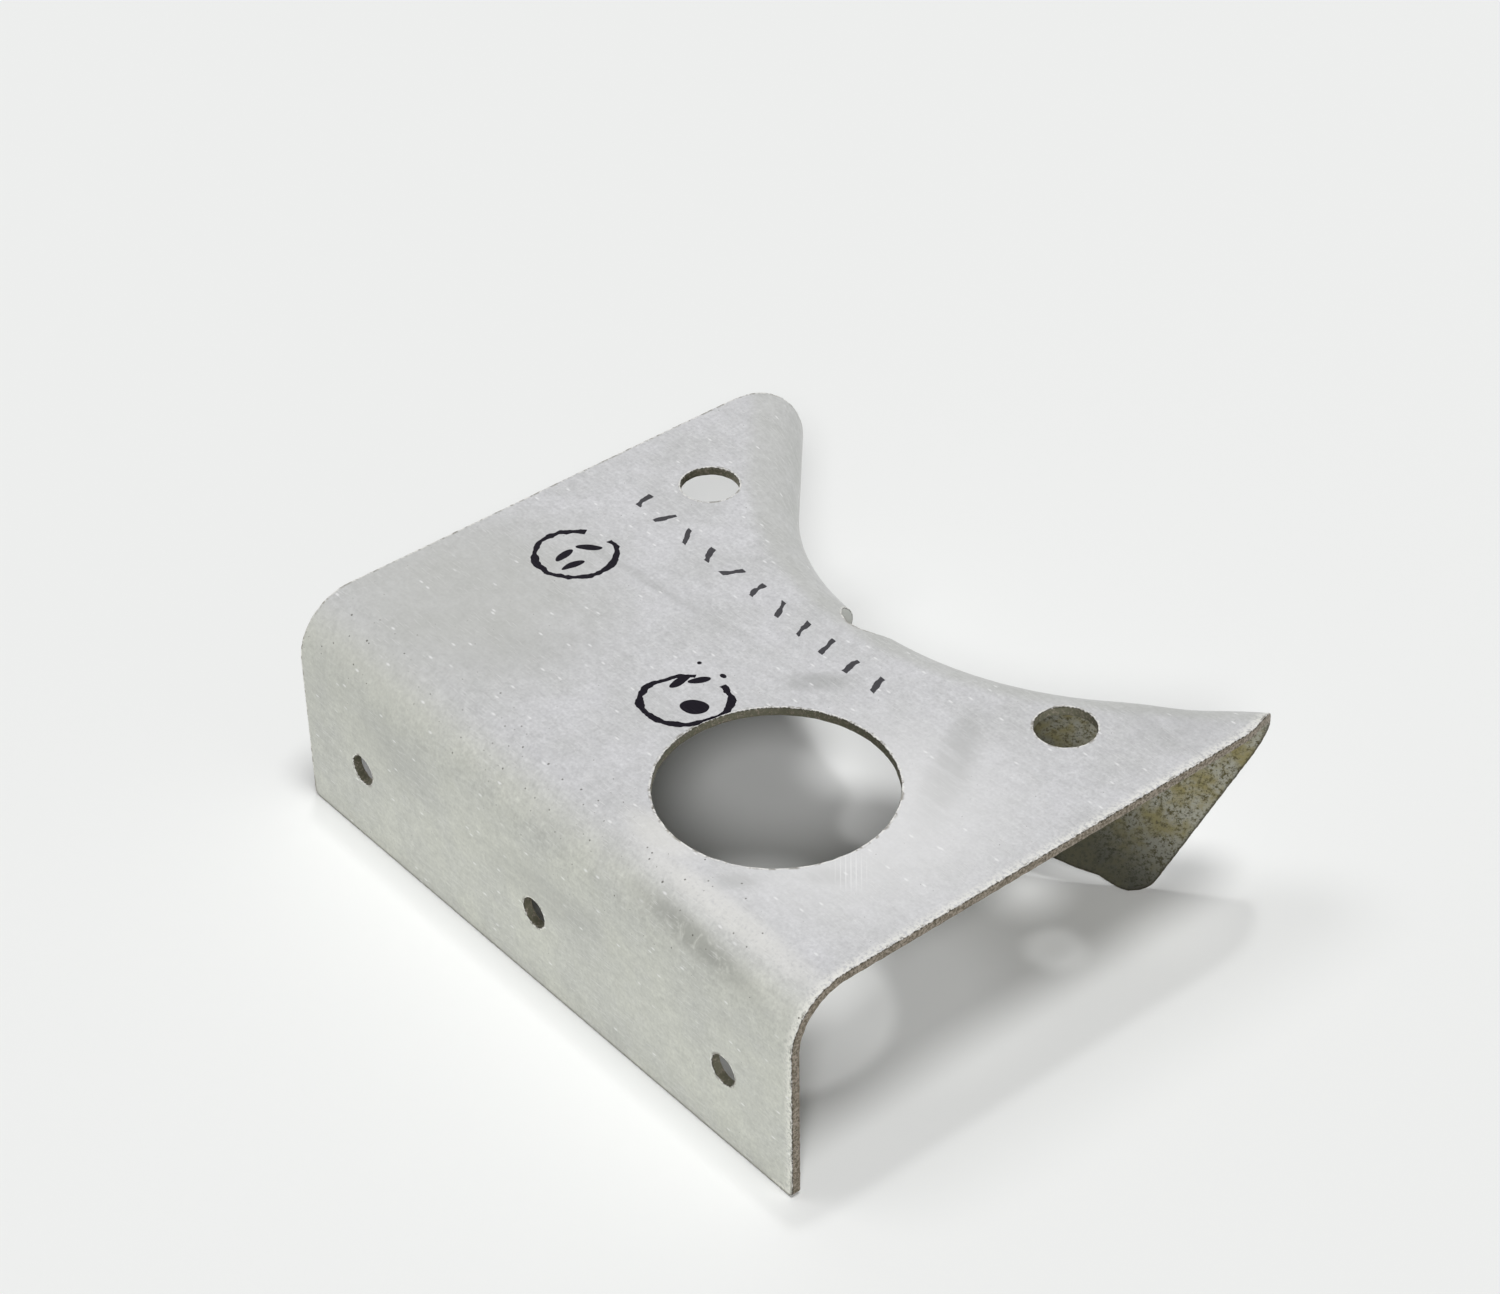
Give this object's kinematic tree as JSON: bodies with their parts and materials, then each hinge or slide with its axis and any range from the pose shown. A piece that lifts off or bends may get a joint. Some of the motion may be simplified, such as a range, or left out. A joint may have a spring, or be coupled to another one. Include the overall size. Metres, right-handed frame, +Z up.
{
  "type": "sheet bracket",
  "caption": "Folded aluminium sheet bracket: flat web with a lightening hole, a straight front flange with rivet holes, and a hollow-curved rear flange split by a relief slot.",
  "frame": {"origin": "on the floor plane, under the middle of the part's outer box", "axes": "+X along the bracket towards the end that is nearer to the lightening hole, +Y from the straight front flange to the hollow-curved rear flange, +Z up, out of the web's top face"},
  "size_m": [0.08, 0.067, 0.0254],
  "materials": {
    "sheet": "mill finish sheet, lightly scuffed, cut edges rough"
  },
  "bodies": {
    "root": {"bracket": "sheet"}
  },
  "joints": []
}
